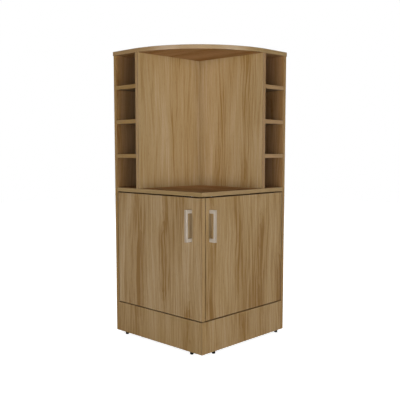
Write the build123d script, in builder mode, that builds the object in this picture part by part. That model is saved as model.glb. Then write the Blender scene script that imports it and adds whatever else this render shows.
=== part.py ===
# Corner bar cabinet for the corner of a room: a square plan whose two closed sides stand
# against the walls. Below are two doors that meet at the front corner, above them a
# counter inside an open corner recess, with a column of cubbies on each side of it.
# Millimetres, +Z up. The origin is at the middle of the overall box, on the floor.
# The left side faces -Y and the right side +X. The right side mirrors the left one
# about the upright plane through the back and the front corner.
import os
from math import atan2, cos, radians, sin, sqrt, tan

from build123d import *

os.makedirs("parts", exist_ok=True)

# Driving dimensions
side = 600.0
overall_height = 1400.0
board = 20.0
glide_height = 12.0
plinth_height = 148.0
door_height = 549.5
door_gap = 3.0
gap_under_doors = 4.0
gap_over_doors = 5.0
cubby_width = 141.2
cubby_rows = 4
top_corner_radius = 461.0
top_overhang = 4.0
edge_round = 1.0
handle_reach = 35.0
cut_overrun = 5.0

# Planes of the carcass: its two closed sides, the door fronts and the inner faces of the side
# panels. The top overhangs the closed sides and meets the walls of the room.
wall_x = top_overhang - (side + top_overhang + handle_reach) / 2
wall_y = -wall_x
face_x = wall_x + side
face_y = wall_y - side
inner_x = wall_x + board
inner_y = wall_y - board
corner_mirror = Plane(origin=(0, 0, 0), z_dir=(1, 1, 0))
left_front = Axis((0, 0, 0), (0, -1, 0))
right_front = Axis((0, 0, 0), (1, 0, 0))

# Levels from the floor up
plinth_top = glide_height + plinth_height
door_bottom = plinth_top + gap_under_doors
door_top = door_bottom + door_height
counter_bottom = door_top + gap_over_doors
counter_top = counter_bottom + board
top_bottom = overall_height - board
cubby_height = (top_bottom - counter_top - (cubby_rows - 1) * board) / cubby_rows
shelf_levels = [counter_top + row * (cubby_height + board) - board for row in range(1, cubby_rows)]

# Planes of the recess: its two walls meet at its back corner
recess_x = inner_x + cubby_width + board
recess_y = inner_y - cubby_width - board

# Confirmat screws, dowels and pan head screws
screw_head_radius = 5.0
screw_neck_radius = 3.5
screw_core_radius = 2.5
screw_length = 50.0
screw_angle = 90
screw_head_drop = 0.3
bore_clearance = 0.15
dowel_radius = 4.0
dowel_in_face = 12.0
dowel_in_end = 18.0
pan_radius = 3.8
pan_height = 2.2


def save(piece, node):
    """Label one finished piece and write it under its node name."""
    piece.part.label = node
    export_step(piece.part, f"parts/{node}.step")


def board_blank(x_span, y_span, z_span):
    """Rectangular board between pairs of planes, added to the piece in hand."""
    with BuildSketch(Plane.XY.offset(z_span[0])) as outline:
        with Locations((x_span[0], y_span[0])):
            Rectangle(x_span[1] - x_span[0], y_span[1] - y_span[0], align=(Align.MIN, Align.MIN))
    extrude(outline.sketch, amount=z_span[1] - z_span[0])


def band_edges(piece, front, along):
    """The long edges of a board's banded edge, which looks to the front given."""
    return piece.faces().sort_by(front)[-1].edges().filter_by(along)


def spread(start, end, count, inset):
    """Places along an edge: the end ones inset, the others evenly between them."""
    step = (end - start - 2 * inset) / (count - 1)
    return [start + inset + index * step for index in range(count)]


def panel_bores(planes):
    """Countersunk clearance holes through a board, one at each screw head."""
    with Locations(*planes):
        CounterSinkHole(
            screw_neck_radius + bore_clearance,
            screw_head_radius + bore_clearance,
            depth=board,
            counter_sink_angle=screw_angle,
        )


def pilot_bores(planes):
    """Pilot holes for the same screws in the board behind."""
    with Locations(*planes):
        Hole(screw_core_radius + bore_clearance, depth=screw_length + bore_clearance)


def turned(planes):
    """The same places looking the other way."""
    return [Plane(origin=plane.origin, z_dir=-plane.z_dir) for plane in planes]


# One confirmat screw, head up at the origin: cone head, full neck and slimmer threaded core
with BuildPart() as confirmat:
    with BuildSketch(Plane.XZ) as half_screw:
        with BuildLine():
            cone = (screw_head_radius - screw_neck_radius) / tan(radians(screw_angle / 2))
            Polyline(
                (0, -screw_head_drop),
                (screw_head_radius - screw_head_drop, -screw_head_drop),
                (screw_neck_radius, -cone),
                (screw_neck_radius, -board),
                (screw_core_radius, -board),
                (screw_core_radius, -screw_length),
                (0, -screw_length),
                close=True,
            )
        make_face()
    revolve(axis=Axis.Z)


def confirmat_set(planes):
    """Confirmat screws at the given heads, added to the piece in hand."""
    with Locations(*planes):
        add(confirmat.part)


def pan_screw(shank_radius, length, head_radius=pan_radius, head_height=pan_height):
    """Pan head screw with the underside of its head at the origin and its shank down."""
    with BuildPart() as screw:
        Cylinder(head_radius, head_height, align=(Align.CENTER, Align.CENTER, Align.MIN))
        fillet(screw.edges().sort_by(Axis.Z)[-1], radius=head_height / 2)
        Cylinder(shank_radius, length, align=(Align.CENTER, Align.CENTER, Align.MAX))
    return screw


# Screw places on the outer faces of the two side panels and on the top
panel_edge_inset = 60.0
deep_screw_inset = 120.0
shelf_back_inset = 90.0
corner_dowel_rise = 50.0
bottom_middle = plinth_top - board / 2
counter_middle = counter_bottom + board / 2
shelf_middles = [level + board / 2 for level in shelf_levels]
left_out = (-1, 0, 0)
right_out = (0, 1, 0)
cubby_screw_depths = [face_y + panel_edge_inset, recess_y - shelf_back_inset]

left_board_screws = [
    Plane(origin=(wall_x, y, z), z_dir=left_out)
    for z in (bottom_middle, counter_middle)
    for y in spread(face_y + board, inner_y, 3, panel_edge_inset)
]
left_shelf_screws = [
    Plane(origin=(wall_x, y, z), z_dir=left_out)
    for z in shelf_middles
    for y in cubby_screw_depths
]
left_wall_screws = [
    Plane(origin=(wall_x, recess_y + board / 2, z), z_dir=left_out)
    for z in spread(counter_top, top_bottom, 3, panel_edge_inset)
]
left_corner_screws = [
    Plane(origin=(wall_x, inner_y + board / 2, z), z_dir=left_out)
    for z in spread(glide_height, top_bottom, 4, panel_edge_inset)
]
left_screws = left_board_screws + left_shelf_screws + left_wall_screws + left_corner_screws

right_board_screws = [
    Plane(origin=(x, wall_y, z), z_dir=right_out)
    for z in (bottom_middle, counter_middle)
    for x in spread(inner_x, face_x - board, 3, panel_edge_inset)
]
right_shelf_screws = [
    Plane(origin=(-y, wall_y, z), z_dir=right_out)
    for z in shelf_middles
    for y in cubby_screw_depths
]
right_wall_screws = [
    Plane(origin=(recess_x - board / 2, wall_y, z), z_dir=right_out)
    for z in spread(counter_top, top_bottom, 3, panel_edge_inset)
]
right_screws = right_board_screws + right_shelf_screws + right_wall_screws

left_wall_depths = (face_y + deep_screw_inset, recess_y - panel_edge_inset)
right_wall_depths = (recess_x + panel_edge_inset, face_x - deep_screw_inset)
top_places = (
    [(wall_x + board / 2, y) for y in (face_y + panel_edge_inset, recess_y)]
    + [(x, wall_y - board / 2) for x in (recess_x, face_x - panel_edge_inset)]
    + [(recess_x - board / 2, y) for y in left_wall_depths]
    + [(x, recess_y + board / 2) for x in right_wall_depths]
)
top_screw_heads = [
    Plane(origin=(x, y, overall_height), z_dir=(0, 0, 1)) for x, y in top_places
]

counter_places = (
    [(recess_x - board / 2, y) for y in spread(face_y, recess_y, 2, panel_edge_inset)]
    + [(x, recess_y + board / 2) for x in spread(recess_x, face_x, 2, panel_edge_inset)]
)
counter_screw_heads = [
    Plane(origin=(x, y, counter_bottom), z_dir=(0, 0, -1)) for x, y in counter_places
]
butt_screw_heads = [
    Plane(origin=(recess_x - board / 2, recess_y + board, z), z_dir=right_out)
    for z in spread(counter_top, top_bottom, 3, deep_screw_inset)
]

# Dowel places: shelf ends to recess walls, and the bottom board to the plinths
left_shelf_dowels = [
    Plane(origin=(recess_x - board, y, z), z_dir=(1, 0, 0))
    for z in shelf_middles
    for y in cubby_screw_depths
]
right_shelf_dowels = [
    Plane(origin=(-y, recess_y + board, z), z_dir=(0, -1, 0))
    for z in shelf_middles
    for y in cubby_screw_depths
]
left_plinth_dowels = [
    Plane(origin=(x, face_y + board, bottom_middle), z_dir=(0, -1, 0))
    for x in spread(inner_x, face_x - board, 3, panel_edge_inset)
]
right_plinth_dowels = [
    Plane(origin=(face_x - board, y, bottom_middle), z_dir=(1, 0, 0))
    for y in spread(face_y + board, inner_y, 3, panel_edge_inset)
]
corner_dowel_level = glide_height + corner_dowel_rise
plinth_corner_dowels = [
    Plane(origin=(face_x - board / 2, face_y + board, corner_dowel_level), z_dir=(0, -1, 0))
]
plinth_dowels = left_plinth_dowels + right_plinth_dowels + plinth_corner_dowels


def face_bores(planes):
    """Dowel holes in the face of a board that the planes point into."""
    with Locations(*turned(planes)):
        Hole(dowel_radius + bore_clearance, depth=dowel_in_face + bore_clearance)


def end_bores(planes):
    """Dowel holes in the end of a board that the planes point away from."""
    with Locations(*planes):
        Hole(dowel_radius + bore_clearance, depth=dowel_in_end + bore_clearance)


# Glides: moulded feet with a stem that plugs into a bore in the edge of a board
glide_radius = 8.5
glide_edge = 1.5
glide_stem_radius = 3.0
glide_stem_length = 15.0
glide_from_left_wall = 70.0
glide_left_from_corner = 73.0
glide_right_from_corner = 87.0
glide_from_right_wall = 46.0
panel_glide_front = 150.0
panel_glide_back = 60.0
glide_places = {
    "left_plinth_glide_1": (wall_x + glide_from_left_wall, face_y + board / 2),
    "left_plinth_glide_2": (face_x - glide_left_from_corner, face_y + board / 2),
    "right_plinth_glide_1": (face_x - board / 2, face_y + glide_right_from_corner),
    "right_plinth_glide_2": (face_x - board / 2, wall_y - glide_from_right_wall),
    "left_panel_glide_1": (wall_x + board / 2, face_y + panel_glide_front),
    "left_panel_glide_2": (wall_x + board / 2, wall_y - panel_glide_back),
    "right_panel_glide_1": (face_x - panel_glide_front, wall_y - board / 2),
    "right_panel_glide_2": (wall_x + panel_glide_back + board, wall_y - board / 2),
}


def glide_bores():
    """Stem bores in the lower edge of the board in hand, wherever a glide stands under it."""
    with Locations(*[(x, y, glide_height) for x, y in glide_places.values()]):
        Hole(glide_stem_radius + bore_clearance, depth=glide_stem_length + bore_clearance)


# Cup hinges, in the plan of the left door: x runs from the side panel's inner face along
# the door, y from the door's front inwards. The right door's hinges mirror these.
hinge_end_inset = 100.0
hinge_levels = {"lower": door_bottom + hinge_end_inset, "upper": door_top - hinge_end_inset}
cup_radius = 17.4
cup_depth = 13.0
cup_wall = 0.8
cup_edge_distance = 4.0
cup_flange = 1.0
cup_rim_width = 2.0
cup_bore_clearance = 0.1
cup_x = door_gap + cup_edge_distance + cup_radius
cup_notch_depth = 6.0
cup_notch_clearance = 1.0
cup_screw_spacing = 45.0
cup_wing_end = 5.5
cup_wing_length = cup_screw_spacing + 2 * cup_wing_end
cup_wing_width = 13.0
cup_wing_corner = 4.0
cup_screw_offset = 9.5
cup_screw_radius = 1.7
cup_screw_length = 11.0
hinge_pin_radius = 1.5
pin_running_clearance = 0.06
cup_pin_x = 11.7
cup_pin_y = 14.5
arm_pin_x = 40.0
arm_pin_y = 27.0
link_thickness = 2.4
link_width = 10.6
link_eye_radius = 2.6
link_neck_along = 7.4
link_neck_drop = 5.9
arm_sheet = 1.2
arm_width = 14.4
arm_height = 10.0
arm_back = 84.0
arm_bend = 46.0
arm_nose_end = 47.8
arm_nose_low = 21.5
arm_nose_top = 34.2
arm_throat = 33.5
arm_window_low = 2.3
arm_window_high = 1.0
arm_window_ahead = 3.05
window_clearance = 0.3
arm_screw_spacing = 20.0
arm_screw_radius = 2.0
arm_screw_head_radius = 3.4
arm_screw_bite = 2.5
plate_thickness = 3.0
plate_middle = 62.0
plate_length = 40.0
plate_wing_height = 50.0
plate_wing_width = 14.0
plate_corner = 3.0
plate_screw_spacing = 32.0
plate_screw_radius = 2.8
plate_screw_length = 13.0


def hinge_plan(level):
    """Plan plane of a hinge of the left door at a level."""
    return Plane(origin=(inner_x, face_y, level), x_dir=(1, 0, 0), z_dir=(0, 0, 1))


def cup_face(level):
    """Plane on the back of the left door at a hinge cup, facing into the cabinet."""
    return Plane(origin=(inner_x + cup_x, face_y + board, level), x_dir=(1, 0, 0), z_dir=(0, 1, 0))


def plate_face(level):
    """Plane on the inner face of the left side panel at a mounting plate."""
    return Plane(origin=(inner_x, face_y + plate_middle, level), x_dir=(0, 1, 0), z_dir=(1, 0, 0))


def cup_screw_planes(rise):
    """Places of the two screws beside each cup, raised from the door's back by rise."""
    x = inner_x + cup_x + cup_screw_offset
    return [
        Plane(origin=(x, face_y + board + rise, level + hand * cup_screw_spacing / 2), z_dir=(0, 1, 0))
        for level in hinge_levels.values()
        for hand in (-1, 1)
    ]


def plate_screw_planes(rise):
    """Places of the two screws of each mounting plate, raised from the panel by rise."""
    y = face_y + plate_middle
    return [
        Plane(origin=(inner_x + rise, y, level + hand * plate_screw_spacing / 2), z_dir=(1, 0, 0))
        for level in hinge_levels.values()
        for hand in (-1, 1)
    ]


def arm_screw_planes(rise):
    """Places of the two screws that hold each arm on its plate, raised from the panel by rise."""
    y = face_y + plate_middle
    return [
        Plane(origin=(inner_x + rise, y + hand * arm_screw_spacing / 2, level), z_dir=(1, 0, 0))
        for level in hinge_levels.values()
        for hand in (-1, 1)
    ]


def mirrored(planes):
    """The same places on the right side of the cabinet."""
    return [
        Plane(
            origin=(-plane.origin.Y, -plane.origin.X, plane.origin.Z),
            z_dir=(-plane.z_dir.Y, -plane.z_dir.X, plane.z_dir.Z),
        )
        for plane in planes
    ]


def plate_bores(planes):
    """Bores for the mounting plates' screws in the side panel in hand."""
    with Locations(*planes):
        Hole(plate_screw_radius + bore_clearance, depth=plate_screw_length)


# Handles: square-cornered bars on two legs, screwed on from inside the door
handle_spacing = 128.0
handle_leg = 15.5
handle_width = 12.0
handle_grip = 10.0
handle_edge = 0.8
handle_from_top = 124.7
left_handle_from_corner = 67.5
right_handle_from_corner = 53.0
handle_screw_radius = 2.0
handle_screw_bite = 10.0
handle_height = handle_spacing + handle_leg
handle_opening = handle_spacing - handle_leg
handle_level = door_top - handle_from_top
handle_ends = [handle_level - handle_spacing / 2, handle_level + handle_spacing / 2]

# Magnetic catches under the counter: two steel poles in a body with two screwed ears. Their
# strike plates plug into the backs of the doors.
catch_from_corner = 120.0
catch_length = 46.0
catch_depth = 14.0
catch_edge = 1.5
catch_ear_length = 62.0
catch_ear_height = 3.0
catch_screw_radius = 1.5
catch_screw_head_radius = 3.0
catch_screw_length = 12.0
pole_thickness = 2.5
pole_pitch = 8.0
strike_drop = 7.75
strike_length = 38.0
strike_height = 12.0
strike_thickness = 1.5
strike_gap = 0.4
strike_pin_radius = 2.5
strike_pin_length = 8.0
strike_level = door_top - strike_drop
strike_back = face_y + board + strike_thickness
catch_x = face_x - catch_from_corner
catch_front = strike_back + strike_gap
catch_body_front = catch_front + pole_thickness
catch_back = catch_front + catch_depth
catch_bottom = strike_level - (pole_pitch + pole_thickness) / 2
strike_face = Plane(origin=(catch_x, face_y + board, strike_level), x_dir=(1, 0, 0), z_dir=(0, 1, 0))
catch_screw_reach = (catch_length + catch_ear_length) / 4
catch_screw_y = (catch_body_front + catch_back) / 2


def catch_screw_planes(drop):
    """Places of the two screws in the ears of the left catch, lowered from the counter by drop."""
    level = counter_bottom - drop
    return [
        Plane(origin=(catch_x + hand * catch_screw_reach, catch_screw_y, level), z_dir=(0, 0, -1))
        for hand in (-1, 1)
    ]


def catch_screw_bores(planes):
    """Pilot holes for the catches' screws in the counter."""
    with Locations(*planes):
        Hole(catch_screw_radius + bore_clearance, depth=catch_screw_length)


# Left side panel: runs from the wall corner to the front, glides to top
with BuildPart() as left_side_panel:
    board_blank((wall_x, inner_x), (face_y, wall_y), (glide_height, top_bottom))
    fillet(band_edges(left_side_panel, left_front, Axis.Z), radius=edge_round)
    panel_bores(left_screws)
    pilot_bores(top_screw_heads)
    plate_bores(plate_screw_planes(0))
    glide_bores()
save(left_side_panel, "left_side_panel")

# Right side panel: butts against the left one in the back corner
with BuildPart() as right_side_panel:
    board_blank((inner_x, face_x), (inner_y, wall_y), (glide_height, top_bottom))
    fillet(band_edges(right_side_panel, right_front, Axis.Z), radius=edge_round)
    panel_bores(right_screws)
    pilot_bores(left_corner_screws + top_screw_heads)
    plate_bores(mirrored(plate_screw_planes(0)))
    glide_bores()
save(right_side_panel, "right_side_panel")

# Bottom board: lies behind the plinths, flush with their tops
with BuildPart() as bottom_board:
    board_blank((inner_x, face_x - board), (face_y + board, inner_y), (plinth_top - board, plinth_top))
    pilot_bores(left_board_screws + right_board_screws)
    end_bores(plinth_dowels)
save(bottom_board, "bottom_board")

# Plinths: the left one runs out to the front corner, the right one butts behind it
with BuildPart() as left_plinth:
    board_blank((inner_x, face_x), (face_y, face_y + board), (glide_height, plinth_top))
    plinth_front = left_plinth.faces().sort_by(left_front)[-1]
    fillet(plinth_front.edges().sort_by(Axis.X)[1:], radius=edge_round)
    face_bores(left_plinth_dowels + plinth_corner_dowels)
    glide_bores()
save(left_plinth, "left_plinth")

with BuildPart() as right_plinth:
    board_blank((face_x - board, face_x), (face_y + board, inner_y), (glide_height, plinth_top))
    fillet(band_edges(right_plinth, right_front, Axis.Y), radius=edge_round)
    face_bores(right_plinth_dowels)
    end_bores(plinth_corner_dowels)
    glide_bores()
save(right_plinth, "right_plinth")

# Counter: the bar surface, full square between the side panels
with BuildPart() as counter_board:
    board_blank((inner_x, face_x), (face_y, inner_y), (counter_bottom, counter_top))
    left_band = band_edges(counter_board, left_front, Axis.X)
    right_band = band_edges(counter_board, right_front, Axis.Y)
    fillet(left_band + right_band, radius=edge_round)
    panel_bores(counter_screw_heads)
    pilot_bores(left_board_screws + right_board_screws)
    catch_screw_bores(catch_screw_planes(0) + mirrored(catch_screw_planes(0)))
save(counter_board, "counter_board")

# Left recess wall: ends against the right one
with BuildPart() as left_recess_wall:
    board_blank((recess_x - board, recess_x), (face_y, recess_y), (counter_top, top_bottom))
    fillet(band_edges(left_recess_wall, left_front, Axis.Z), radius=edge_round)
    pilot_bores(top_screw_heads + counter_screw_heads + butt_screw_heads)
    face_bores(left_shelf_dowels)
save(left_recess_wall, "left_recess_wall")

# Right recess wall: runs on to the left side panel and closes the left cubbies behind
with BuildPart() as right_recess_wall:
    board_blank((inner_x, face_x), (recess_y, recess_y + board), (counter_top, top_bottom))
    fillet(band_edges(right_recess_wall, right_front, Axis.Z), radius=edge_round)
    panel_bores(butt_screw_heads)
    pilot_bores(left_wall_screws + top_screw_heads + counter_screw_heads)
    face_bores(right_shelf_dowels)
save(right_recess_wall, "right_recess_wall")

# Cubby back: closes the right cubbies behind
with BuildPart() as right_cubby_back:
    board_blank((recess_x - board, recess_x), (recess_y + board, inner_y), (counter_top, top_bottom))
    pilot_bores(right_wall_screws)
save(right_cubby_back, "right_cubby_back")

# Cubby shelves: three on each side, flush with the front edges of the panels
for number, level in enumerate(shelf_levels, start=1):
    with BuildPart() as left_shelf:
        board_blank((inner_x, recess_x - board), (face_y, recess_y), (level, level + board))
        fillet(band_edges(left_shelf, left_front, Axis.X), radius=edge_round)
        pilot_bores(left_shelf_screws)
        end_bores(left_shelf_dowels)
    save(left_shelf, f"left_cubby_shelf_{number}")
    with BuildPart() as right_shelf:
        board_blank((recess_x, face_x), (recess_y + board, inner_y), (level, level + board))
        fillet(band_edges(right_shelf, right_front, Axis.Y), radius=edge_round)
        pilot_bores(right_shelf_screws)
        end_bores(right_shelf_dowels)
    save(right_shelf, f"right_cubby_shelf_{number}")

# Top board: a square with its front corner swept round over the recess
with BuildPart() as top_board:
    board_blank(
        (wall_x - top_overhang, face_x),
        (face_y, wall_y + top_overhang),
        (top_bottom, overall_height),
    )
    to_front_corner = Axis((0, 0, 0), (1, -1, 0))
    front_corner = top_board.edges().filter_by(Axis.Z).sort_by(to_front_corner)[-1]
    fillet(front_corner, radius=top_corner_radius)
    fillet(top_board.edges().filter_by(Axis.Z, reverse=True), radius=edge_round)
    panel_bores(top_screw_heads)
save(top_board, "top_board")

# Screws of the carcass
with BuildPart() as left_panel_screws:
    confirmat_set(left_screws)
save(left_panel_screws, "left_panel_screws")

with BuildPart() as right_panel_screws:
    confirmat_set(right_screws)
save(right_panel_screws, "right_panel_screws")

with BuildPart() as top_screws:
    confirmat_set(top_screw_heads)
save(top_screws, "top_screws")

with BuildPart() as recess_wall_screws:
    confirmat_set(counter_screw_heads + butt_screw_heads)
save(recess_wall_screws, "recess_wall_screws")

# Dowels: plain beech pins between board ends and faces
with BuildPart() as dowel:
    with Locations((0, 0, -dowel_in_end)):
        Cylinder(dowel_radius, dowel_in_end + dowel_in_face, align=(Align.CENTER, Align.CENTER, Align.MIN))

with BuildPart() as dowels:
    with Locations(*(left_shelf_dowels + right_shelf_dowels + plinth_dowels)):
        add(dowel.part)
save(dowels, "dowels")

# Glides
for node, (x, y) in glide_places.items():
    with BuildPart() as glide:
        with Locations((x, y, 0)):
            Cylinder(glide_radius, glide_height, align=(Align.CENTER, Align.CENTER, Align.MIN))
        chamfer(glide.edges().sort_by(Axis.Z)[0], length=glide_edge)
        with Locations((x, y, glide_height)):
            Cylinder(glide_stem_radius, glide_stem_length, align=(Align.CENTER, Align.CENTER, Align.MIN))
    save(glide, node)


def door_bores(screw_planes, handle_planes, cups, strike):
    """Bores for the hinge cups, their screws, the handle and the strike plate in a door."""
    with Locations(*cups):
        Hole(cup_radius + cup_bore_clearance, depth=cup_depth + cup_bore_clearance)
    with Locations(*screw_planes):
        Hole(cup_screw_radius + bore_clearance, depth=cup_screw_length)
    with Locations(*handle_planes):
        Hole(handle_screw_radius + bore_clearance, depth=board + cut_overrun)
    with Locations(strike):
        Hole(strike_pin_radius + bore_clearance, depth=strike_pin_length + bore_clearance)


left_handle_x = face_x - left_handle_from_corner
right_handle_y = face_y + right_handle_from_corner
left_handle_holes = [
    Plane(origin=(left_handle_x, face_y + board, z), z_dir=(0, 1, 0)) for z in handle_ends
]
right_handle_holes = [
    Plane(origin=(face_x - board, right_handle_y, z), z_dir=(-1, 0, 0)) for z in handle_ends
]
left_cups = [cup_face(level) for level in hinge_levels.values()]
left_door_screws = cup_screw_planes(0)
right_strike_face = mirrored([strike_face])[0]

# Left door: runs out to the front corner. Right door: closes behind its free edge.
with BuildPart() as left_door:
    board_blank((inner_x + door_gap, face_x), (face_y, face_y + board), (door_bottom, door_top))
    fillet(left_door.edges().filter_by(Axis.Y, reverse=True), radius=edge_round)
    door_bores(left_door_screws, left_handle_holes, left_cups, strike_face)
save(left_door, "left_door")

right_door_end = face_y + board + door_gap
with BuildPart() as right_door:
    board_blank((face_x - board, face_x), (right_door_end, inner_y - door_gap), (door_bottom, door_top))
    fillet(right_door.edges().filter_by(Axis.X, reverse=True), radius=edge_round)
    door_bores(mirrored(left_door_screws), right_handle_holes, mirrored(left_cups), right_strike_face)
save(right_door, "right_door")

# Handles: the side outline of the bar and its legs, as wide as the bar, and their screws
left_handle_side = Plane(
    origin=(left_handle_x, face_y, handle_level), x_dir=(0, -1, 0), z_dir=(1, 0, 0)
)
right_handle_side = Plane(
    origin=(face_x, right_handle_y, handle_level), x_dir=(1, 0, 0), z_dir=(0, -1, 0)
)
handle_screw = pan_screw(handle_screw_radius, board + handle_screw_bite)
for hand, side_plane, front, holes in (
    ("left", left_handle_side, left_front, left_handle_holes),
    ("right", right_handle_side, right_front, right_handle_holes),
):
    with BuildPart() as handle:
        with BuildSketch(side_plane):
            Rectangle(handle_reach, handle_height, align=(Align.MIN, Align.CENTER))
            Rectangle(
                handle_reach - handle_grip,
                handle_opening,
                align=(Align.MIN, Align.CENTER),
                mode=Mode.SUBTRACT,
            )
        extrude(amount=handle_width / 2, both=True)
        fillet(handle.faces().sort_by(front)[-1].edges(), radius=handle_edge)
        with Locations(*holes):
            Hole(handle_screw_radius + bore_clearance, depth=board + handle_screw_bite + bore_clearance)
    save(handle, f"{hand}_handle")
    with BuildPart() as handle_screws:
        with Locations(*holes):
            add(handle_screw.part)
    save(handle_screws, f"{hand}_handle_screws")

# Link outline: from the cup pin down into the cup, then straight to the arm's pin
link_lean = atan2(arm_pin_y - cup_pin_y, arm_pin_x - cup_pin_x)
neck_x = cup_pin_x + link_neck_along * cos(link_lean) + link_neck_drop * sin(link_lean)
neck_y = cup_pin_y + link_neck_along * sin(link_lean) - link_neck_drop * cos(link_lean)

# The pin across the cup ends inside the cup's wall
cup_pin_half = sqrt(cup_radius**2 - (cup_x - cup_pin_x + hinge_pin_radius) ** 2) - cup_wall / 2

# Arm: its web is level with the plate at first, then falls towards the door
arm_foot = plate_thickness
arm_top = arm_foot + arm_height
arm_fall_share = (arm_bend - arm_nose_top) / (arm_nose_end - arm_top)
arm_inside_end = arm_nose_end + cut_overrun
arm_inside_fall = arm_fall_share * (arm_inside_end - arm_top + arm_sheet)

for place, level in hinge_levels.items():
    # Hinge cup: deep drawn steel, with two screw wings and a pin across it for the link
    with BuildPart() as hinge_cup:
        with BuildSketch(cup_face(level)):
            Circle(cup_radius + cup_rim_width)
            with Locations((cup_screw_offset, 0)):
                RectangleRounded(cup_wing_width, cup_wing_length, cup_wing_corner)
        extrude(amount=cup_flange)
        with BuildSketch(cup_face(level)):
            Circle(cup_radius)
        extrude(amount=-cup_depth)
        with BuildSketch(cup_face(level).offset(cup_flange)):
            Circle(cup_radius - cup_wall)
        extrude(amount=cup_wall - cup_depth - cup_flange, mode=Mode.SUBTRACT)
        with BuildSketch(cup_face(level)):
            with Locations((-cup_radius - cup_rim_width, 0)):
                Rectangle(
                    cup_notch_depth,
                    link_width + 2 * cup_notch_clearance,
                    align=(Align.MIN, Align.CENTER),
                )
        extrude(amount=cup_flange, mode=Mode.SUBTRACT)
        with BuildSketch(hinge_plan(level)):
            with Locations((cup_pin_x, cup_pin_y)):
                Circle(hinge_pin_radius)
        extrude(amount=cup_pin_half, both=True)
        with Locations(*cup_screw_planes(cup_flange)):
            Hole(cup_screw_radius + bore_clearance, depth=cup_flange + bore_clearance)
    save(hinge_cup, f"left_{place}_hinge_cup")

    # Link: pressed steel with an eye round the cup's pin and a pin in the arm's windows
    with BuildPart() as hinge_link:
        with BuildSketch(hinge_plan(level).offset(-link_width / 2)):
            with BuildLine():
                Polyline((cup_pin_x, cup_pin_y), (neck_x, neck_y), (arm_pin_x, arm_pin_y))
            trace(line_width=link_thickness)
            with Locations((cup_pin_x, cup_pin_y), (arm_pin_x, arm_pin_y)):
                Circle(link_eye_radius)
            with Locations((neck_x, neck_y)):
                Circle(link_thickness / 2)
            with Locations((cup_pin_x, cup_pin_y)):
                Circle(hinge_pin_radius + pin_running_clearance, mode=Mode.SUBTRACT)
        extrude(amount=link_width)
        with BuildSketch(hinge_plan(level)):
            with Locations((arm_pin_x, arm_pin_y)):
                Circle(hinge_pin_radius)
        extrude(amount=arm_width / 2, both=True)
    save(hinge_link, f"left_{place}_hinge_link")

    # Arm: a channel folded from sheet, open towards the door, with a window in each cheek
    with BuildPart() as hinge_arm:
        with BuildSketch(hinge_plan(level)):
            with BuildLine():
                Polyline(
                    (arm_foot, arm_back),
                    (arm_top, arm_back),
                    (arm_top, arm_bend),
                    (arm_nose_end, arm_nose_top),
                    (arm_nose_end, arm_nose_low),
                    (arm_throat, arm_nose_low),
                    (arm_foot, arm_bend - arm_height),
                    close=True,
                )
            make_face()
        extrude(amount=arm_width / 2, both=True)
        with BuildSketch(hinge_plan(level)):
            with BuildLine():
                Polyline(
                    (arm_foot - cut_overrun, arm_back + cut_overrun),
                    (arm_top - arm_sheet, arm_back + cut_overrun),
                    (arm_top - arm_sheet, arm_bend - arm_sheet),
                    (arm_inside_end, arm_bend - arm_sheet - arm_inside_fall),
                    (arm_inside_end, arm_nose_low - cut_overrun),
                    (arm_foot - cut_overrun, arm_nose_low - cut_overrun),
                    close=True,
                )
            make_face()
        extrude(amount=arm_width / 2 - arm_sheet, both=True, mode=Mode.SUBTRACT)
        with BuildSketch(hinge_plan(level)):
            reach = hinge_pin_radius + window_clearance
            with Locations((arm_pin_x - reach, arm_pin_y - arm_window_low - reach)):
                Rectangle(
                    arm_window_ahead + 2 * reach,
                    arm_window_low + arm_window_high + 2 * reach,
                    align=(Align.MIN, Align.MIN),
                )
        extrude(amount=arm_width, both=True, mode=Mode.SUBTRACT)
        with Locations(*arm_screw_planes(arm_top)):
            Hole(arm_screw_radius + bore_clearance, depth=arm_sheet + bore_clearance)
    save(hinge_arm, f"left_{place}_hinge_arm")

    # Mounting plate: a cross-shaped plate screwed to the side panel under the arm
    with BuildPart() as hinge_plate:
        with BuildSketch(plate_face(level)):
            RectangleRounded(plate_length, arm_width, plate_corner)
            RectangleRounded(plate_wing_width, plate_wing_height, plate_corner)
        extrude(amount=plate_thickness)
        with Locations(*plate_screw_planes(plate_thickness)):
            Hole(plate_screw_radius + bore_clearance, depth=plate_thickness + bore_clearance)
        with Locations(*arm_screw_planes(plate_thickness)):
            Hole(arm_screw_radius + bore_clearance, depth=plate_thickness + bore_clearance)
    save(hinge_plate, f"left_{place}_hinge_plate")

    for piece, word in ((hinge_cup, "cup"), (hinge_link, "link"), (hinge_arm, "arm"), (hinge_plate, "plate")):
        with BuildPart() as right_piece:
            mirror(piece.part, about=corner_mirror)
        save(right_piece, f"right_{place}_hinge_{word}")

# Hinge screws
cup_screw = pan_screw(cup_screw_radius, cup_screw_length)
plate_screw = pan_screw(plate_screw_radius, plate_screw_length)
for hand, cup_planes, plate_planes in (
    ("left", cup_screw_planes(cup_flange), plate_screw_planes(plate_thickness)),
    ("right", mirrored(cup_screw_planes(cup_flange)), mirrored(plate_screw_planes(plate_thickness))),
):
    with BuildPart() as cup_screws:
        with Locations(*cup_planes):
            add(cup_screw.part)
    save(cup_screws, f"{hand}_cup_screws")
    with BuildPart() as plate_screws:
        with Locations(*plate_planes):
            add(plate_screw.part)
    save(plate_screws, f"{hand}_plate_screws")

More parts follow.
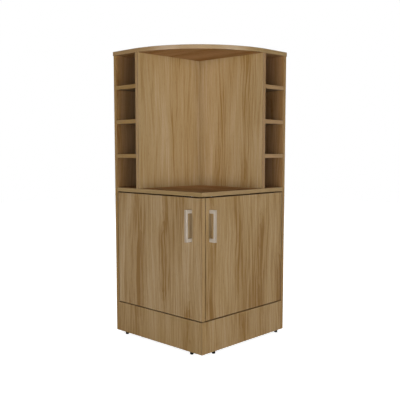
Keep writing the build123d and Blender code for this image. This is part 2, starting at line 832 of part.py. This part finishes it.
# Magnetic catch: a moulded body with two ears under the counter, and two steel poles
with BuildPart() as left_catch:
    board_blank(
        (catch_x - catch_length / 2, catch_x + catch_length / 2),
        (catch_body_front, catch_back),
        (catch_bottom, counter_bottom),
    )
    fillet(left_catch.edges().filter_by(Axis.Z), radius=catch_edge)
    board_blank(
        (catch_x - catch_ear_length / 2, catch_x + catch_ear_length / 2),
        (catch_body_front + catch_edge, catch_back - catch_edge),
        (counter_bottom - catch_ear_height, counter_bottom),
    )
    for pole_middle in (strike_level - pole_pitch / 2, strike_level + pole_pitch / 2):
        board_blank(
            (catch_x - strike_length / 2, catch_x + strike_length / 2),
            (catch_front, catch_front + catch_depth / 2),
            (pole_middle - pole_thickness / 2, pole_middle + pole_thickness / 2),
        )
    with Locations(*catch_screw_planes(catch_ear_height)):
        Hole(catch_screw_radius + bore_clearance, depth=catch_ear_height + bore_clearance)
save(left_catch, "left_magnetic_catch")

# Strike plate on the door, where the poles of the catch meet it, with a pin into the door
with BuildPart() as left_strike:
    with BuildSketch(strike_face):
        RectangleRounded(strike_length, strike_height, catch_edge)
    extrude(amount=strike_thickness)
    with BuildSketch(strike_face):
        Circle(strike_pin_radius)
    extrude(amount=-strike_pin_length)
save(left_strike, "left_strike_plate")

for piece, node in ((left_catch, "right_magnetic_catch"), (left_strike, "right_strike_plate")):
    with BuildPart() as right_piece:
        mirror(piece.part, about=corner_mirror)
    save(right_piece, node)

# Fitting screws: two in each hinge arm and two in each catch
arm_screws = arm_screw_planes(arm_top)
catch_screws = catch_screw_planes(catch_ear_height)
arm_screw = pan_screw(arm_screw_radius, arm_height + arm_screw_bite, arm_screw_head_radius)
catch_screw = pan_screw(catch_screw_radius, catch_screw_length, catch_screw_head_radius)
with BuildPart() as fitting_screws:
    with Locations(*(arm_screws + mirrored(arm_screws))):
        add(arm_screw.part)
    with Locations(*(catch_screws + mirrored(catch_screws))):
        add(catch_screw.part)
save(fitting_screws, "fitting_screws")
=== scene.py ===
# Looks of the corner bar cabinet: printed oak laminate on every board, satin nickel bar
# handles, nickel plated cup hinges, zinc plated screws and black plastic glides, standing
# in a plain white studio. Metres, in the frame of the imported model, +Z up. The left door
# faces -Y and the right door +X.
import math

import bpy
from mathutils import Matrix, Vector


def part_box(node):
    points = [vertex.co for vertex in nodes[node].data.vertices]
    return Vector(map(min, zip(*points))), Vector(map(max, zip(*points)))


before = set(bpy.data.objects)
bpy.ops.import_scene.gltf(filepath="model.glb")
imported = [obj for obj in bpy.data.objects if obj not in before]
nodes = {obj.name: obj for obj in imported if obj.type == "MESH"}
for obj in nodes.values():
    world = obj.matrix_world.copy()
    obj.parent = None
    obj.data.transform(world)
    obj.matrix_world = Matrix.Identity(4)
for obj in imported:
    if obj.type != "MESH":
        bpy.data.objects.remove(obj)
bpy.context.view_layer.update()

# Side panels. Two upright particle boards faced with printed oak laminate, their front
# edges closed with a glued band of the same print. They stand against the two walls of the
# room's corner and are screwed together where they meet.
X_AXIS, Y_AXIS, Z_AXIS = (1, 0, 0), (0, 1, 0), (0, 0, 1)
counter_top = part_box("counter_board")[1].z


def shader_node(tree, kind, inputs=None, **settings):
    """Adds one node; its inputs, by name or number, are linked to a socket or set to a value."""
    made = tree.nodes.new(kind)
    for setting, value in settings.items():
        setattr(made, setting, value)
    for socket, value in (inputs or {}).items():
        if isinstance(value, bpy.types.NodeSocket):
            tree.links.new(value, made.inputs[socket])
        else:
            made.inputs[socket].default_value = value
    return made


def sums(tree, operation, *values):
    """A number worked out from numbers and sockets."""
    inputs = dict(enumerate(values))
    return shader_node(tree, "ShaderNodeMath", inputs, operation=operation).outputs[0]


def vector_sums(tree, operation, first, second, output="Vector"):
    """A vector, or the number that a dot product gives."""
    inputs = {0: first, 1: second}
    return shader_node(tree, "ShaderNodeVectorMath", inputs, operation=operation).outputs[output]


def ramp(tree, value, low, high, low_out=0.0, high_out=1.0):
    """Spreads the stretch from low to high over low_out to high_out, with soft ends."""
    inputs = {"Value": value, "From Min": low, "From Max": high, "To Min": low_out, "To Max": high_out}
    made = shader_node(tree, "ShaderNodeMapRange", inputs, interpolation_type="SMOOTHSTEP")
    return made.outputs["Result"]


def mixed(tree, share, first, second):
    """Two colours mixed by a share."""
    inputs = {0: share, 6: first, 7: second}
    return shader_node(tree, "ShaderNodeMix", inputs, data_type="RGBA").outputs[2]


def streaky_noise(tree, across, along, shift, finest, longest, detail=2.0):
    """Noise from 0 to 1 drawn out along the grain: finest and longest are cells per metre."""
    narrow = sums(tree, "MULTIPLY", across, finest)
    drawn_out = sums(tree, "MULTIPLY", along, longest)
    where = shader_node(tree, "ShaderNodeCombineXYZ", {0: narrow, 1: drawn_out, 2: shift}).outputs[0]
    inputs = {"Vector": where, "Scale": 1.0, "Detail": detail}
    return shader_node(tree, "ShaderNodeTexNoise", inputs).outputs["Fac"]


def new_group(name, inputs, outputs):
    """A node group with named sockets. Inputs are name: (kind, value), outputs name: kind."""
    group = bpy.data.node_groups.new(name, "ShaderNodeTree")
    for label, (kind, value) in inputs.items():
        socket = group.interface.new_socket(name=label, in_out="INPUT", socket_type=kind)
        socket.default_value = value
    for label, kind in outputs.items():
        group.interface.new_socket(name=label, in_out="OUTPUT", socket_type=kind)
    given = group.nodes.new("NodeGroupInput").outputs
    put = group.nodes.new("NodeGroupOutput").inputs
    return group, given, put


def srgb(red, green, blue, full=255):
    """A display colour, 0 to 255, as the linear colour that a shader takes."""
    shares = [channel / full for channel in (red, green, blue)]
    linear = [s / 12.92 if s <= 0.04045 else ((s + 0.055) / 1.055) ** 2.4 for s in shares]
    return (*linear, 1.0)


# The way the print lies on a board: along its grain on the two faces, and along the band on
# each edge, so that an edge never shows end grain. Between the two runs lies the arris, the
# rounded edge that gets painted shade. The shown side is the one in view with the doors shut,
# where painted light goes. Depth grows inwards from the front edge of a side panel, as far as
# a cubby shows it from the corner, for its painted shade, and right facing grows from the bands
# that face -Y to those that face +X, for the bands' painted light.
board_faces, given, put = new_group(
    "board_faces",
    {
        "Position": ("NodeSocketVector", (0, 0, 0)),
        "Normal": ("NodeSocketVector", (0, 0, 1)),
        "Face Axis": ("NodeSocketVector", (1, 0, 0)),
        "Grain Axis": ("NodeSocketVector", (0, 0, 1)),
        "Shown Side": ("NodeSocketFloat", 1.0),
        "Shown From": ("NodeSocketFloat", 0.0),
    },
    {
        "Across": "NodeSocketFloat",
        "Along": "NodeSocketFloat",
        "Band": "NodeSocketFloat",
        "Arris": "NodeSocketFloat",
        "Shown": "NodeSocketFloat",
        "Depth": "NodeSocketFloat",
        "Right Facing": "NodeSocketFloat",
    },
)
tree = board_faces
band_slant = 0.7
depth_start, depth_end = 0.30, 0.16
faces_apart = 0.83
facing = vector_sums(tree, "DOT_PRODUCT", given["Normal"], given["Face Axis"], "Value")
band = sums(tree, "LESS_THAN", sums(tree, "ABSOLUTE", facing), band_slant)
band_run = vector_sums(tree, "CROSS_PRODUCT", given["Face Axis"], given["Normal"])
face_side = vector_sums(tree, "CROSS_PRODUCT", given["Face Axis"], given["Grain Axis"])
runs = {}
for label, on_face, on_band in (
    ("Along", given["Grain Axis"], band_run),
    ("Across", face_side, given["Face Axis"]),
):
    inputs = {0: band, 4: on_face, 5: on_band}
    turned = shader_node(tree, "ShaderNodeMix", inputs, data_type="VECTOR").outputs[1]
    runs[label] = vector_sums(tree, "DOT_PRODUCT", given["Position"], turned, "Value")
other_side = sums(tree, "GREATER_THAN", facing, 0.0)
tree.links.new(sums(tree, "MULTIPLY_ADD", other_side, faces_apart, runs["Across"]), put["Across"])
tree.links.new(runs["Along"], put["Along"])
tree.links.new(band, put["Band"])
# a face has slope 0, and the arris, halfway between face and band, has slope 0.25
facing_square = sums(tree, "MULTIPLY", facing, facing)
slope = sums(tree, "MULTIPLY", facing_square, sums(tree, "SUBTRACT", 1.0, facing_square))
tree.links.new(ramp(tree, slope, 0.01, 0.16), put["Arris"])
toward_view = sums(tree, "MULTIPLY", facing, given["Shown Side"])
turned_to_view = sums(tree, "GREATER_THAN", toward_view, 0.0)
height = vector_sums(tree, "DOT_PRODUCT", given["Position"], Z_AXIS, "Value")
high_enough = sums(tree, "GREATER_THAN", height, given["Shown From"])
tree.links.new(sums(tree, "MULTIPLY", turned_to_view, high_enough), put["Shown"])
depth = ramp(tree, runs["Across"], depth_end, depth_start, 1.0, 0.0)
tree.links.new(depth, put["Depth"])
toward_right = vector_sums(tree, "DOT_PRODUCT", given["Normal"], (1, 1, 0), "Value")
tree.links.new(ramp(tree, toward_right, -0.9, 0.9), put["Right Facing"])

# The print itself: golden flames where the cut passes near the heart of the log, growth rings
# that close to points in them, paler stretches between, and fine streaks, fibres and pores.
# The tints are painted light and shade on the shown side, deeper in a cubby and on the bands.
oak_print, given, put = new_group(
    "oak_print",
    {
        "Across": ("NodeSocketFloat", 0.0),
        "Along": ("NodeSocketFloat", 0.0),
        "Band": ("NodeSocketFloat", 0.0),
        "Arris": ("NodeSocketFloat", 0.0),
        "Shown": ("NodeSocketFloat", 1.0),
        "Depth": ("NodeSocketFloat", 0.0),
        "Right Facing": ("NodeSocketFloat", 0.0),
        "Shift": ("NodeSocketFloat", 0.0),
        "Figure": ("NodeSocketFloat", 0.6),
        "Streaks": ("NodeSocketFloat", 0.3),
        "Painted Face Light": ("NodeSocketColor", (1, 1, 1, 1)),
        "Painted Deep Shade": ("NodeSocketColor", (1, 1, 1, 1)),
        "Painted Band Light": ("NodeSocketColor", (1, 1, 1, 1)),
        "Painted Right Band Light": ("NodeSocketColor", (1, 1, 1, 1)),
        "Pale Wood": ("NodeSocketColor", srgb(163, 138, 104)),
        "Middle Wood": ("NodeSocketColor", srgb(149, 122, 82)),
        "Golden Wood": ("NodeSocketColor", srgb(123, 89, 38)),
        "Dark Wood": ("NodeSocketColor", srgb(92, 62, 31)),
    },
    {"Color": "NodeSocketColor", "Gloss": "NodeSocketFloat", "Relief": "NodeSocketFloat"},
)
tree = oak_print
along, shift = given["Along"], given["Shift"]
sway_width, wander_width = 0.05, 0.012
sway = streaky_noise(tree, given["Across"], along, shift, finest=4.0, longest=2.2, detail=1.0)
across = sums(tree, "MULTIPLY_ADD", sway, sway_width, given["Across"])
shifted = sums(tree, "ADD", shift, 5.0)
wander = streaky_noise(tree, across, along, shifted, finest=20.0, longest=8.0, detail=1.0)
across = sums(tree, "MULTIPLY_ADD", wander, wander_width, across)
streaks = streaky_noise(tree, across, along, shift, finest=140.0, longest=4.2, detail=3.0)
streaks = ramp(tree, streaks, 0.36, 0.66)
zones = streaky_noise(tree, across, along, shift, finest=8.0, longest=1.2)
zones = ramp(tree, zones, 0.36, 0.64)
fibres = streaky_noise(tree, across, along, shift, finest=430.0, longest=6.0)
pores = streaky_noise(tree, across, along, shift, finest=1300.0, longest=45.0, detail=0.0)
pores = ramp(tree, pores, 0.62, 0.72)
# distance from the heart: hearts lie side by side in the print, and the cut wanders past them
heart_half_spacing, heart_step, cut_reach = 0.085, 0.031, 0.17
heart_side = sums(tree, "MULTIPLY_ADD", shift, heart_step, across)
heart_side = sums(tree, "PINGPONG", heart_side, heart_half_spacing)
shifted = sums(tree, "ADD", shift, 9.0)
cut = streaky_noise(tree, across, along, shifted, finest=4.0, longest=1.9, detail=1.0)
cut = sums(tree, "MULTIPLY_ADD", cut, 2 * cut_reach, -cut_reach)
heart_square = sums(tree, "MULTIPLY_ADD", heart_side, heart_side, sums(tree, "POWER", cut, 2.0))
ring_radius = sums(tree, "SQRT", heart_square)
rings_per_metre, ring_unevenness, ring_sharpness, ring_weight = 62.0, 0.35, 2.5, 0.7
ring_count = sums(tree, "MULTIPLY", ring_radius, rings_per_metre)
ring_count = sums(tree, "MULTIPLY_ADD", streaks, ring_unevenness, ring_count)
late_wood = sums(tree, "POWER", sums(tree, "FRACT", ring_count), ring_sharpness)
flame = ramp(tree, ring_radius, 0.0, 0.052, 1.0, 0.0)
near_heart = ramp(tree, ring_radius, 0.02, 0.06, 1.0, 0.1)
rings = sums(tree, "MULTIPLY", late_wood, near_heart)
figure = sums(tree, "MULTIPLY_ADD", rings, ring_weight, flame)
figure = sums(tree, "MULTIPLY", figure, given["Figure"])
# the tone of the wood, 0 pale to 1.7 dark, with less change on the narrow bands
zone_weight, fibre_weight, figure_weight = 0.36, 0.26, 0.40
usual_tone, middle_tone, band_calm = 0.52, 0.50, 0.55
tone = sums(tree, "MULTIPLY", zones, zone_weight)
tone = sums(tree, "MULTIPLY_ADD", streaks, given["Streaks"], tone)
tone = sums(tree, "MULTIPLY_ADD", fibres, fibre_weight, tone)
tone = sums(tree, "MULTIPLY_ADD", figure, figure_weight, tone)
contrast = sums(tree, "MULTIPLY_ADD", given["Band"], -band_calm, 1.0)
tone = sums(tree, "SUBTRACT", tone, usual_tone)
tone = sums(tree, "MULTIPLY_ADD", tone, contrast, middle_tone)
# the arris is painted nearly black: painted shade that darkens the gaps between boards and doors
pore_darkness, arris_shade_share, arris_shade_tint = 0.25, 0.8, (0.06, 0.02, 0, 1)
wood = mixed(tree, ramp(tree, tone, 0.05, 0.55), given["Pale Wood"], given["Middle Wood"])
wood = mixed(tree, ramp(tree, tone, 0.50, 1.05), wood, given["Golden Wood"])
wood = mixed(tree, ramp(tree, tone, 1.15, 1.7), wood, given["Dark Wood"])
wood = mixed(tree, sums(tree, "MULTIPLY", pores, pore_darkness), wood, given["Dark Wood"])
# painted light and shade: the shown side's tint turns into the deep tint further into a cubby, and each
# band takes a tint by the way it faces
painted_face_light = mixed(tree, given["Depth"], given["Painted Face Light"], given["Painted Deep Shade"])
painted_face_light = mixed(tree, given["Shown"], (1, 1, 1, 1), painted_face_light)
painted_band_light = mixed(tree, given["Right Facing"], given["Painted Band Light"], given["Painted Right Band Light"])
painted_light = mixed(tree, given["Band"], painted_face_light, painted_band_light)
painted_light = mixed(tree, sums(tree, "MULTIPLY", given["Arris"], arris_shade_share), painted_light, arris_shade_tint)
inputs = {0: 1.0, 6: wood, 7: painted_light}
tinted = shader_node(tree, "ShaderNodeMix", inputs, data_type="RGBA", blend_type="MULTIPLY")
tree.links.new(tinted.outputs[2], put["Color"])
gloss = sums(tree, "MULTIPLY_ADD", tone, -0.06, 0.50)
tree.links.new(sums(tree, "MULTIPLY_ADD", pores, 0.12, gloss), put["Gloss"])
relief = sums(tree, "MULTIPLY_ADD", pores, -0.7, sums(tree, "MULTIPLY", fibres, 0.6))
tree.links.new(relief, put["Relief"])


def new_material(name):
    """A node material with one shader: gives the material, its node tree and the shader."""
    material = bpy.data.materials.new(name)
    material.use_nodes = True
    tree = material.node_tree
    tree.nodes.clear()
    shader = shader_node(tree, "ShaderNodeBsdfPrincipled")
    shader_node(tree, "ShaderNodeOutputMaterial", {"Surface": shader.outputs[0]})
    return material, tree, shader


def placed_group(tree, group, inputs):
    """One use of a node group in a material, with its inputs linked or set."""
    return shader_node(tree, "ShaderNodeGroup", inputs, node_tree=group).outputs


def bumped(tree, shader, height, distance):
    """Fine relief, as high as distance in metres, on a shader's normal."""
    bump = shader_node(tree, "ShaderNodeBump", {"Height": height, "Distance": distance})
    tree.links.new(bump.outputs["Normal"], shader.inputs["Normal"])


def dress(node, material):
    """Gives one piece of the frame its finish."""
    materials = nodes[node].data.materials
    materials.clear()
    materials.append(material)


def laminate(
    node,
    face_axis,
    grain_axis,
    place,
    shown_side=1,
    shown_from=0.0,
    painted_light=(1, 1, 1),
    deep_shade=None,
    band=(1, 1, 1),
    right_band_light=None,
    figure=0.6,
    streaks=0.4,
    polish=1.0,
    band_polish=1.0,
):
    """The printed laminate of one board; place says where in the endless print it is cut.

    The tints are painted light and shade: one on the shown side, a deep one that paints shade
    further into a cubby, one on the bands and one on the bands that face +X. The deep and the
    +X band tints are as the side and band tints where they aren't given.
    """
    material, tree, shader = new_material(f"laminate_{node}")
    where = shader_node(tree, "ShaderNodeTexCoord").outputs
    faces = placed_group(
        tree,
        board_faces,
        {
            "Position": where["Object"],
            "Normal": where["Normal"],
            "Face Axis": face_axis,
            "Grain Axis": grain_axis,
            "Shown Side": shown_side,
            "Shown From": shown_from,
        },
    )
    printed = placed_group(
        tree,
        oak_print,
        {
            "Across": faces["Across"],
            "Along": faces["Along"],
            "Band": faces["Band"],
            "Arris": faces["Arris"],
            "Shown": faces["Shown"],
            "Depth": faces["Depth"],
            "Right Facing": faces["Right Facing"],
            "Shift": place,
            "Figure": figure,
            "Streaks": streaks,
            "Painted Face Light": (*painted_light, 1),
            "Painted Deep Shade": (*(deep_shade or painted_light), 1),
            "Painted Band Light": (*band, 1),
            "Painted Right Band Light": (*(right_band_light or band), 1),
        },
    )
    tree.links.new(printed["Color"], shader.inputs["Base Color"])
    tree.links.new(printed["Gloss"], shader.inputs["Roughness"])
    full_coat = 0.6
    face_coat, band_coat = full_coat * polish, full_coat * band_polish
    coat_weight = sums(tree, "MULTIPLY_ADD", faces["Band"], band_coat - face_coat, face_coat)
    # no coat on the arris, so that its painted shade shows no glint
    off_arris = sums(tree, "SUBTRACT", 1.0, faces["Arris"])
    tree.links.new(sums(tree, "MULTIPLY", coat_weight, off_arris), shader.inputs["Coat Weight"])
    shader.inputs["Coat Roughness"].default_value = 0.25
    shader.inputs["Specular IOR Level"].default_value = 0.22 * polish
    bumped(tree, shader, printed["Relief"], distance=0.00006)
    dress(node, material)


# painted light and shade: the cubby sides above the counter are tinted warmer and lighter at the front and
# painted darker deeper in, and the bands tinted darker
laminate(
    "left_side_panel",
    X_AXIS,
    Z_AXIS,
    place=522.7,
    shown_from=counter_top,
    painted_light=(1.21, 0.98, 0.77),
    deep_shade=(0.94, 0.82, 0.79),
    band=(0.81, 0.69, 0.37),
)
laminate(
    "right_side_panel",
    Y_AXIS,
    Z_AXIS,
    place=387.2,
    shown_side=-1,
    shown_from=counter_top,
    painted_light=(1.38, 1.11, 0.87),
    deep_shade=(0.88, 0.73, 0.7),
    band=(0.87, 0.76, 0.48),
)

# Bottom board and plinths. The board lies behind the two plinths and is dowelled to them;
# the plinths carry the front on their glides. On the plinths the grain stands upright, as on
# the doors above.
laminate("bottom_board", Z_AXIS, X_AXIS, place=21.9)
# painted light and shade: each plinth and its bands are tinted lighter or darker by how light falls on its
# side and in its gaps
laminate(
    "left_plinth",
    Y_AXIS,
    Z_AXIS,
    place=425.6,
    shown_side=-1,
    painted_light=(0.93, 0.89, 0.76),
    band=(1.12, 1.12, 1.1),
    band_polish=0,
)
laminate(
    "right_plinth",
    X_AXIS,
    Z_AXIS,
    place=706.6,
    painted_light=(1.1, 1.09, 1.04),
    band=(0.8, 0.66, 0.42),
    band_polish=0,
)

# Counter. One square board between the side panels, screwed from outside, whose two front
# edges are banded along their length.
# painted light: the counter's top is tinted lighter, and its bands by the way they face, for the light
# that falls on them
laminate(
    "counter_board",
    Z_AXIS,
    X_AXIS,
    place=43.8,
    painted_light=(1.5, 1.25, 1.22),
    band=(0.95, 0.97, 0.95),
    right_band_light=(1.06, 1.09, 1.14),
    polish=0.1,
)

# Recess walls. Two upright boards that meet in the back corner of the open recess, and a
# narrow one that closes the right cubbies behind, all screwed between counter and top.
# painted light: the recess walls' shown faces and bands are tinted by the light that falls on them
laminate(
    "left_recess_wall",
    X_AXIS,
    Z_AXIS,
    place=673.6,
    painted_light=(1.19, 1.22, 1.21),
    band=(0.92, 0.85, 0.75),
    figure=0.2,
    streaks=0.38,
)
laminate(
    "right_recess_wall",
    Y_AXIS,
    Z_AXIS,
    place=585.7,
    shown_side=-1,
    painted_light=(1.13, 1.14, 1.11),
    band=(0.95, 0.86, 0.8),
    figure=0.3,
)
laminate("right_cubby_back", X_AXIS, Z_AXIS, place=65.7)

# Cubby shelves. Short boards between a side panel, screwed, and a recess wall, dowelled,
# with a banded front edge. Their undersides are tinted dark as painted shade, and their bands
# tinted as painted light by the side that they face.
for row in (1, 2, 3):
    for hand, grain_axis, first_place, band in (
        ("left", Y_AXIS, 58.4, (0.83, 0.74, 0.475)),
        ("right", X_AXIS, 65.7, (1.02, 0.94, 0.9)),
    ):
        laminate(
            f"{hand}_cubby_shelf_{row}",
            Z_AXIS,
            grain_axis,
            place=first_place + 14.6 * row,
            shown_side=-1,
            painted_light=(0.42, 0.4, 0.38),
            band=band,
        )

# Top board. A square board with its front corner swept round, banded right round the bow,
# screwed down into the panels and the recess walls.
# painted light: the underside is tinted lighter, and the bands by the way they face, for the light that
# falls on them
laminate(
    "top_board",
    Z_AXIS,
    X_AXIS,
    place=116.8,
    shown_side=-1,
    painted_light=(1.32, 1.12, 1.08),
    band=(0.93, 0.9, 0.92),
    right_band_light=(1.02, 1.06, 1.12),
    polish=0.1,
)

# Doors. Two boards banded on all four edges, drilled behind for their hinge cups; the left
# one laps the end of the right one at the front corner.
# painted light and shade: each door is tinted by how light falls on its side, the right door's bands
# darker as shade in the gaps and the left door's lighter
laminate(
    "left_door",
    Y_AXIS,
    Z_AXIS,
    place=195.5,
    shown_side=-1,
    painted_light=(1.0, 0.99, 0.95),
    band=(1.14, 1.13, 1.1),
    figure=0.85,
    streaks=0.48,
    band_polish=0,
)
laminate(
    "right_door",
    X_AXIS,
    Z_AXIS,
    place=694.4,
    painted_light=(1.05, 1.02, 0.9),
    band=(0.8, 0.66, 0.42),
    figure=0.8,
    streaks=0.48,
    band_polish=0,
)

# Handles. Square bars bent to a U from solid zinc alloy, nickel plated and brushed along
# their length to a satin finish, screwed on from inside the doors.


def plain_noise(tree, where, scale, detail=2.0):
    """Noise from 0 to 1, with as many cells per metre as scale says."""
    inputs = {"Vector": where, "Scale": scale, "Detail": detail}
    return shader_node(tree, "ShaderNodeTexNoise", inputs).outputs["Fac"]


def brushed_metal(name, color, gloss, brushing_axis, streak_depth=0.000012, metallic=1.0, painted_flanks=None):
    """Plated metal with fine brushing lines along one axis, and slightly cloudy gloss.

    Flanks is an axis and a colour: the sides that face along that axis have that colour, painted light
    that makes them as bright as the front.
    """
    cells_across, cells_along, cloud_cells, cloud_darkening = 2600.0, 90.0, 60.0, 0.93
    material, tree, shader = new_material(name)
    where = shader_node(tree, "ShaderNodeTexCoord").outputs
    drawn_out = [cells_along if share else cells_across for share in brushing_axis]
    lines = plain_noise(tree, vector_sums(tree, "MULTIPLY", where["Object"], drawn_out), 1.0)
    clouds = plain_noise(tree, where["Object"], cloud_cells)
    darker = (*(channel * cloud_darkening for channel in color[:3]), 1.0)
    plated = mixed(tree, ramp(tree, clouds, 0.3, 0.7), darker, color)
    if painted_flanks:
        flank_axis, flank_painted_light = painted_flanks
        along_axis = vector_sums(tree, "DOT_PRODUCT", where["Normal"], flank_axis, "Value")
        painted_flank = ramp(tree, sums(tree, "ABSOLUTE", along_axis), 0.6, 0.8)
        plated = mixed(tree, painted_flank, plated, flank_painted_light)
    tree.links.new(plated, shader.inputs["Base Color"])
    rough = sums(tree, "MULTIPLY_ADD", clouds, 0.06, gloss - 0.08)
    rough = sums(tree, "MULTIPLY_ADD", lines, 0.10, rough)
    tree.links.new(rough, shader.inputs["Roughness"])
    shader.inputs["Metallic"].default_value = metallic
    bumped(tree, shader, lines, distance=streak_depth)
    return material


# each handle's flanks are painted lighter than its plated front: painted light where they lie in shade
for hand, flank_axis in (("left", X_AXIS), ("right", Y_AXIS)):
    satin_nickel = brushed_metal(
        f"satin_nickel_{hand}",
        srgb(168, 153, 135),
        gloss=0.45,
        brushing_axis=Z_AXIS,
        metallic=0.35,
        painted_flanks=(flank_axis, srgb(179, 169, 155)),
    )
    dress(f"{hand}_handle", satin_nickel)

# Cup hinges. Nickel plated pressed steel: a deep drawn cup in the door, a link and its pins,
# a folded arm, and a mounting plate screwed to the side panel.
no_brushing = (0, 0, 0)
nickel_steel = brushed_metal("nickel_steel", srgb(198, 198, 196), 0.30, no_brushing, streak_depth=0.000004)
for hand in ("left", "right"):
    for height in ("lower", "upper"):
        for part in ("cup", "link", "arm", "plate"):
            dress(f"{hand}_{height}_hinge_{part}", nickel_steel)

# Magnetic catches and glides. Moulded black plastic with a fine spark texture: the catches
# hang under the counter and hold the doors by steel strike plates, the glides plug into the
# lower edges of the plinths and side panels.


def moulded_plastic(name, color, gloss):
    """Moulded plastic with a fine spark-eroded texture and faint rub marks."""
    material, tree, shader = new_material(name)
    where = shader_node(tree, "ShaderNodeTexCoord").outputs["Object"]
    grain = plain_noise(tree, where, 1900.0, detail=1.0)
    rubs = plain_noise(tree, where, 140.0, detail=3.0)
    paler = (*(channel * 1.8 + 0.002 for channel in color[:3]), 1.0)
    rubbed = mixed(tree, ramp(tree, rubs, 0.45, 0.75), color, paler)
    tree.links.new(rubbed, shader.inputs["Base Color"])
    rough = sums(tree, "MULTIPLY_ADD", rubs, -0.12, gloss + 0.06)
    tree.links.new(rough, shader.inputs["Roughness"])
    shader.inputs["Specular IOR Level"].default_value = 0.15
    bumped(tree, shader, grain, distance=0.00003)
    return material


black_plastic = moulded_plastic("black_plastic", srgb(9, 9, 10), gloss=0.5)
zinc_steel = brushed_metal("zinc_steel", srgb(150, 152, 154), 0.42, no_brushing, streak_depth=0.000005)
for hand in ("left", "right"):
    dress(f"{hand}_magnetic_catch", black_plastic)
    dress(f"{hand}_strike_plate", zinc_steel)
    for board in ("plinth", "panel"):
        for number in (1, 2):
            dress(f"{hand}_{board}_glide_{number}", black_plastic)

# Screws. Zinc plated steel, turned and rolled: countersunk ones through the carcass boards,
# and small ones that hold the hinges, catches, strike plates and handles.
for held in ("left_panel", "right_panel", "top", "recess_wall", "fitting"):
    dress(f"{held}_screws", zinc_steel)
for hand in ("left", "right"):
    for held in ("cup", "plate", "handle"):
        dress(f"{hand}_{held}_screws", zinc_steel)

# Dowels. Turned beech pins, glued into the ends of the cubby shelves and the edges of the
# bottom board, and into the recess walls and plinths that these meet.
beech, tree, shader = new_material("beech")
where = shader_node(tree, "ShaderNodeTexCoord").outputs["Object"]
flecks = plain_noise(tree, where, 900.0)
flecked = mixed(tree, flecks, srgb(214, 178, 134), srgb(188, 148, 104))
tree.links.new(flecked, shader.inputs["Base Color"])
tree.links.new(sums(tree, "MULTIPLY_ADD", flecks, 0.15, 0.55), shader.inputs["Roughness"])
bumped(tree, shader, flecks, distance=0.00004)
dress("dowels", beech)

# Studio. A plain white floor runs out to a white surround. One soft light stands square to
# each side, two more and a low one fill the fronts, three cards show in the gloss alone, and
# a high light behind the cabinet lights its top and the floor.
floor_half = 8.0
floor_mesh = bpy.data.meshes.new("floor")
signs = ((-1, -1), (1, -1), (1, 1), (-1, 1))
corners = [(x_sign * floor_half, y_sign * floor_half, 0) for x_sign, y_sign in signs]
floor_mesh.from_pydata(corners, [], [(0, 1, 2, 3)])
floor = bpy.data.objects.new("floor", floor_mesh)
bpy.context.scene.collection.objects.link(floor)

# the camera sees the floor lifted to white, a little less so where the cabinet's shade lies
shade_radius, white_radius = 0.6, 2.0
white_floor = bpy.data.materials.new("white_floor")
white_floor.use_nodes = True
tree = white_floor.node_tree
tree.nodes.clear()
seen = shader_node(tree, "ShaderNodeLightPath").outputs["Is Camera Ray"]
where = shader_node(tree, "ShaderNodeTexCoord").outputs["Object"]
from_middle = vector_sums(tree, "LENGTH", where, (0, 0, 0), "Value")
whiteness = ramp(tree, from_middle, shade_radius, white_radius, 0.9, 1.0)
lit = shader_node(tree, "ShaderNodeBsdfDiffuse", {"Color": (0.62, 0.62, 0.62, 1)}).outputs[0]
strength = sums(tree, "MULTIPLY", seen, whiteness)
lift = shader_node(tree, "ShaderNodeEmission", {"Strength": strength}).outputs[0]
both = shader_node(tree, "ShaderNodeAddShader", {0: lit, 1: lift}).outputs[0]
shader_node(tree, "ShaderNodeOutputMaterial", {"Surface": both})
floor_mesh.materials.append(white_floor)

# the surround is white to the camera and a fifth as strong in the gloss
world = bpy.data.worlds.new("studio")
bpy.context.scene.world = world
world.use_nodes = True
tree = world.node_tree
tree.nodes.clear()
rays = shader_node(tree, "ShaderNodeLightPath").outputs
strength = sums(tree, "MULTIPLY_ADD", rays["Is Glossy Ray"], 0.2, rays["Is Camera Ray"])
surround = shader_node(tree, "ShaderNodeBackground", {"Color": (1, 1, 1, 1), "Strength": strength})
shader_node(tree, "ShaderNodeOutputWorld", {"Surface": surround.outputs[0]})


def soft_light(name, azimuth, height, distance, width, power):
    """A square soft light that looks at the middle of the cabinet; azimuth 0 is in front of -Y."""
    lamp = bpy.data.lights.new(name, "AREA")
    lamp.shape = "SQUARE"
    lamp.size = width
    lamp.energy = power
    made = bpy.data.objects.new(name, lamp)
    bpy.context.scene.collection.objects.link(made)
    turn = math.radians(azimuth)
    made.location = (distance * math.sin(turn), -distance * math.cos(turn), height)
    aim = Vector((0, 0, 0.75)) - made.location
    made.rotation_euler = aim.to_track_quat("-Z", "Y").to_euler()
    return made


for number, azimuth in enumerate((0, 90, 180, 270), start=1):
    soft_light(f"side_light_{number}", azimuth, height=0.5, distance=6.0, width=2.5, power=225)
for number, azimuth in enumerate((19, 71), start=1):
    soft_light(f"front_side_light_{number}", azimuth, height=0.9, distance=6.0, width=2.5, power=71)
soft_light("front_light", azimuth=45, height=0.15, distance=4.0, width=1.2, power=17)
for number, azimuth in enumerate((4, 45, 86), start=1):
    card = soft_light(f"sheen_card_{number}", azimuth, height=2.0, distance=5.0, width=2.6, power=62)
    card.visible_diffuse = False
back_light = soft_light("back_light", azimuth=225, height=4.5, distance=3.5, width=3.0, power=120)
back_light.visible_glossy = False

# Camera. It stands in front of the corner where the doors meet, at the height of the open
# recess, and looks slightly down.
camera_data = bpy.data.cameras.new("camera")
camera_data.lens = 56.25
camera_data.sensor_width = 36.0
camera_data.shift_y = 0.032
camera = bpy.data.objects.new("camera", camera_data)
bpy.context.scene.collection.objects.link(camera)
camera.location = (2.1535, -2.2369, 0.9216)
aim = Vector((-0.0159, 0.0151, 0.6086)) - camera.location
camera.rotation_euler = aim.to_track_quat("-Z", "Y").to_euler()
bpy.context.scene.camera = camera
bpy.context.scene.view_settings.view_transform = "Standard"
